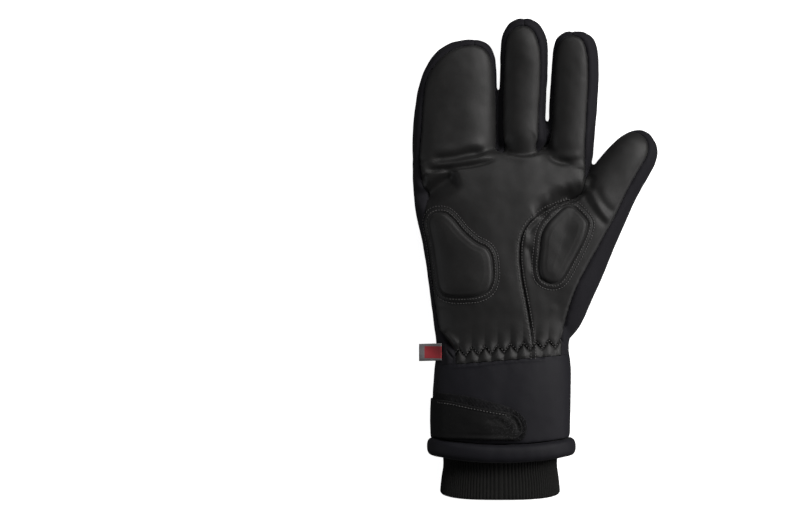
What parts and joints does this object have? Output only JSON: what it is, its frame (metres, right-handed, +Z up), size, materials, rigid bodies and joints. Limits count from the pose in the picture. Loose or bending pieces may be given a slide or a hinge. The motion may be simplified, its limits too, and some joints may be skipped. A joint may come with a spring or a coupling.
{
  "type": "winter cycling glove",
  "caption": "Right-hand winter cycling glove with a shared outer finger compartment, leather palm, wrist strap, rolled edge and ribbed knit cuff.",
  "frame": {"origin": "on the surface that the glove lies on, under the middle of its bounding box", "axes": "+X towards the thumb side, +Y from the cuff to the fingertips, +Z up out of the palm"},
  "size_m": [0.1468, 0.29, 0.0495],
  "materials": {
    "leather": "satin",
    "softshell_black": "matte",
    "softshell_grey": "matte",
    "neoprene": "matte",
    "strap_fabric": "matte",
    "hook_tape": "matte",
    "rib_knit": "matte",
    "label": "matte"
  },
  "bodies": {
    "root": {"palm_panel": "leather", "thumb_panel": "leather", "heel_pad": "leather", "thumb_pad": "leather", "wrist_gathers": "leather", "back_panel": "softshell_black", "back_panel_grey": "softshell_grey", "finger_gusset_pair": "softshell_black", "finger_gusset_middle": "softshell_black", "index_gusset": "softshell_black", "thumb_back": "softshell_black", "gauntlet_front": "neoprene", "strap_hook": "hook_tape", "wrist_strap": "strap_fabric", "cuff_roll": "neoprene", "rib_cuff": "rib_knit", "side_label": "label"}
  },
  "joints": []
}
